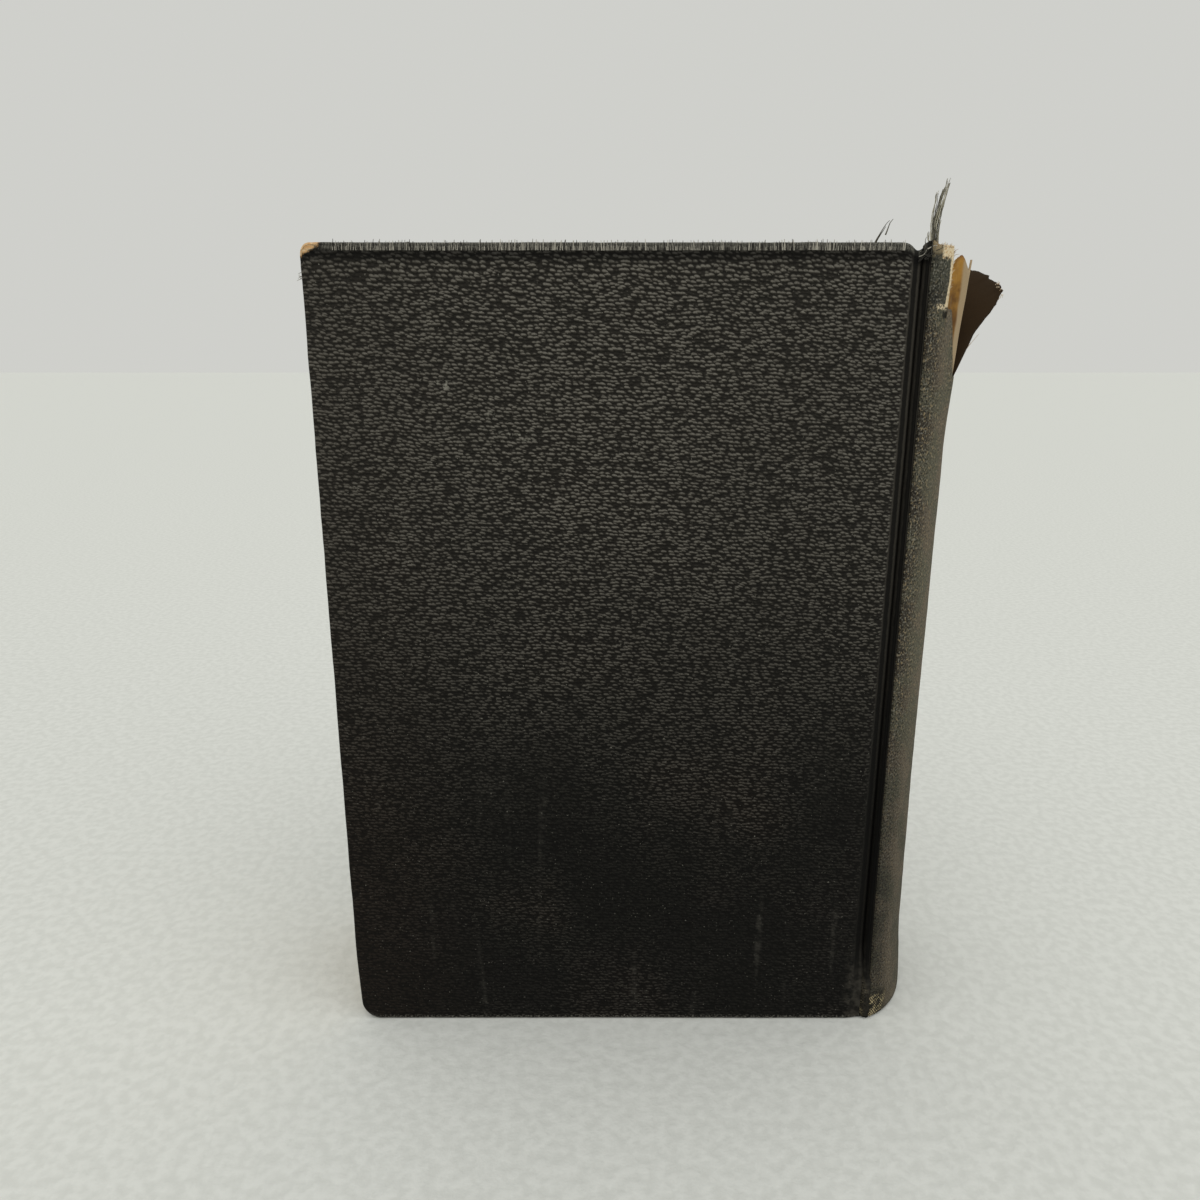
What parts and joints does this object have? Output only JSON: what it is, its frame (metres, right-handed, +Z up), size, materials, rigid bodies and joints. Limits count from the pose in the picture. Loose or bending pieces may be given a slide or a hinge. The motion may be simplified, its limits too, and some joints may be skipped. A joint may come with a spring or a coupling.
{
  "type": "hardback book",
  "caption": "Worn cloth-bound hardback book standing on its tail, with a rounded spine torn open at the head and covers that open on their grooves.",
  "frame": {"origin": "middle of the object's box at its base, on the plane the book stands on", "axes": "+Z up from tail to head, +X from the fore-edge to the spine, +Y from the back cover to the front cover"},
  "size_m": [0.1668, 0.047, 0.197],
  "materials": {
    "page_paper": "aged uncoated paper, trimmed edges",
    "mull": "open-weave cotton mull, glued",
    "lining_paper": "brown lining paper",
    "inlay_paper": "stiff brown paper, torn and stained",
    "binding_cloth": "black pebble-grained bookcloth, rubbed and faded",
    "endpaper": "plain aged endpaper",
    "binders_board": "strawboard"
  },
  "bodies": {
    "text_body": {"text_block": "page_paper", "spine_mull": "mull", "spine_lining": "lining_paper", "spine_inlay": "inlay_paper", "spine_cloth": "binding_cloth", "back_endpaper": "endpaper", "front_endpaper": "endpaper"},
    "back_cover": {"back_board": "binders_board", "back_cloth": "binding_cloth", "back_pastedown": "endpaper"},
    "front_cover": {"front_board": "binders_board", "front_cloth": "binding_cloth", "front_pastedown": "endpaper"}
  },
  "joints": [
    {"name": "back_hinge", "type": "hinge", "parent": "text_body", "child": "back_cover", "pos_m": [0.05033, -0.0235, 0.0985], "axis": [0, 0, 1], "range_deg": [0, 180]},
    {"name": "front_hinge", "type": "hinge", "parent": "text_body", "child": "front_cover", "pos_m": [0.05033, 0.0235, 0.0985], "axis": [0, 0, -1], "range_deg": [0, 180]}
  ]
}
